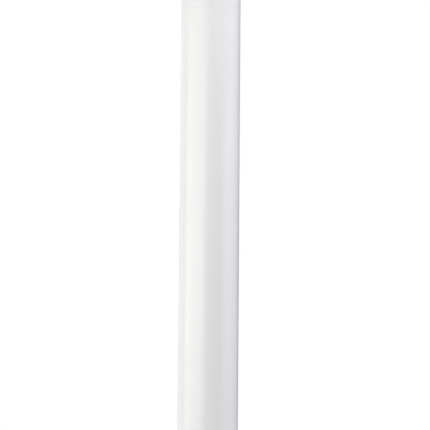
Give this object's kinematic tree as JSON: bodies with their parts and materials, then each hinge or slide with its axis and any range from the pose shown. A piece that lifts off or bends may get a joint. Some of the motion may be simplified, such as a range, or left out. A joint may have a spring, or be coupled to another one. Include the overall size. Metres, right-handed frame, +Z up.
{
  "type": "white cane",
  "caption": "Telescoping white cane with a rubber grip, twist-lock tubes, a rolling tip on a ball bearing and a wrist cord with a cord lock.",
  "frame": {"origin": "centre of the rolling tip's flat contact with the ground, with the cane fully out", "axes": "+Z up along the cane towards the handle; the wrist cord hangs on the -X side and the finger flat of the grip faces -Y"},
  "size_m": [0.0874, 0.0275, 1.2339],
  "materials": {
    "grip_rubber": "matt, moulded pattern",
    "black_plastic": "satin moulded",
    "steel": "bright turned",
    "tube_aluminium": "satin anodised",
    "white_film": "satin reflective film",
    "red_film": "satin reflective film",
    "collar_plastic": "satin moulded",
    "expander_plastic": "natural nylon",
    "cone_plastic": "satin moulded",
    "plug_plastic": "satin moulded",
    "bearing_steel": "ground and polished",
    "cage_nylon": "moulded",
    "tip_nylon": "scuffed nylon",
    "cord_fabric": "braided",
    "button_plastic": "polished"
  },
  "bodies": {
    "handle": {"grip": "grip_rubber", "grip_cap": "black_plastic", "cord_pin": "steel", "upper_tube": "tube_aluminium", "upper_film": "white_film", "upper_collar": "collar_plastic"},
    "upper_lock": {"upper_lock_expander": "expander_plastic"},
    "upper_lock_cone": {"upper_lock_cone": "cone_plastic"},
    "second_section": {"upper_lock_plug": "plug_plastic", "upper_lock_screw": "steel", "upper_lock_nut": "steel", "second_tube": "tube_aluminium", "second_film": "white_film", "second_collar": "collar_plastic"},
    "middle_lock": {"middle_lock_expander": "expander_plastic"},
    "middle_lock_cone": {"middle_lock_cone": "cone_plastic"},
    "third_section": {"middle_lock_plug": "plug_plastic", "middle_lock_screw": "steel", "middle_lock_nut": "steel", "third_tube": "tube_aluminium", "third_film": "white_film", "third_collar": "collar_plastic"},
    "lower_lock": {"lower_lock_expander": "expander_plastic"},
    "lower_lock_cone": {"lower_lock_cone": "cone_plastic"},
    "lowest_section": {"lower_lock_plug": "plug_plastic", "lower_lock_screw": "steel", "lower_lock_nut": "steel", "lowest_tube": "tube_aluminium", "lowest_film": "red_film", "tip_adapter": "tube_aluminium", "tip_stem": "steel", "tip_retaining_clip": "steel", "bearing_inner_ring": "bearing_steel"},
    "tip_roller": {"rolling_tip": "tip_nylon", "bearing_outer_ring": "bearing_steel", "tip_dust_washer": "collar_plastic"},
    "bearing_balls": {"bearing_balls": "bearing_steel", "bearing_cage": "cage_nylon"},
    "wrist_cord": {"wrist_cord": "cord_fabric", "cord_splice_sleeve": "tube_aluminium"},
    "cord_lock": {"cord_lock_body": "black_plastic"},
    "cord_lock_button": {"cord_lock_button": "button_plastic", "cord_lock_spring": "steel"}
  },
  "joints": [
    {"name": "upper_extension", "type": "slide", "parent": "handle", "child": "upper_lock", "axis": [0, 0, 1], "range_m": [0, 0.275]},
    {"name": "upper_lock_twist", "type": "hinge", "parent": "upper_lock", "child": "second_section", "pos_m": [0, 0, 0.86], "axis": [0, 0, 1], "range_deg": [-180, 0]},
    {"name": "upper_lock_cone_travel", "type": "slide", "parent": "upper_lock", "child": "upper_lock_cone", "axis": [0, 0, 1], "range_m": [0, 0.00025]},
    {"name": "middle_extension", "type": "slide", "parent": "second_section", "child": "middle_lock", "axis": [0, 0, 1], "range_m": [0, 0.239]},
    {"name": "middle_lock_twist", "type": "hinge", "parent": "middle_lock", "child": "third_section", "pos_m": [0, 0, 0.6], "axis": [0, 0, 1], "range_deg": [-180, 0]},
    {"name": "middle_lock_cone_travel", "type": "slide", "parent": "middle_lock", "child": "middle_lock_cone", "axis": [0, 0, 1], "range_m": [0, 0.00025]},
    {"name": "lower_extension", "type": "slide", "parent": "third_section", "child": "lower_lock", "axis": [0, 0, 1], "range_m": [0, 0.217]},
    {"name": "lower_lock_twist", "type": "hinge", "parent": "lower_lock", "child": "lowest_section", "pos_m": [0, 0, 0.342], "axis": [0, 0, 1], "range_deg": [-180, 0]},
    {"name": "lower_lock_cone_travel", "type": "slide", "parent": "lower_lock", "child": "lower_lock_cone", "axis": [0, 0, 1], "range_m": [0, 0.00025]},
    {"name": "tip_roll", "type": "hinge", "parent": "lowest_section", "child": "tip_roller", "pos_m": [0, 0, 0.0325], "axis": [0, 0, 1], "continuous": true},
    {"name": "bearing_ball_orbit", "type": "hinge", "parent": "lowest_section", "child": "bearing_balls", "pos_m": [0, 0, 0.0325], "axis": [0, 0, 1], "continuous": true},
    {"name": "wrist_cord_swing", "type": "hinge", "parent": "handle", "child": "wrist_cord", "pos_m": [0, 0, 1.2277], "axis": [0, 1, 0], "range_deg": [0, 150]},
    {"name": "cord_lock_slide", "type": "slide", "parent": "wrist_cord", "child": "cord_lock", "axis": [0, 0, 1], "range_m": [0, 0.027]},
    {"name": "cord_lock_press", "type": "slide", "parent": "cord_lock", "child": "cord_lock_button", "axis": [0, 1, 0], "range_m": [0, 0.003], "stiffness_N_per_m": 600, "springref_m": -0.004}
  ],
  "couplings": [
    {"joint": "upper_lock_cone_travel", "follows": "upper_lock_twist", "m_per_rad": -0.00007957},
    {"joint": "middle_lock_cone_travel", "follows": "middle_lock_twist", "m_per_rad": -0.00007957},
    {"joint": "lower_lock_cone_travel", "follows": "lower_lock_twist", "m_per_rad": -0.00007957},
    {"joint": "bearing_ball_orbit", "follows": "tip_roll", "ratio": 0.6524}
  ]
}
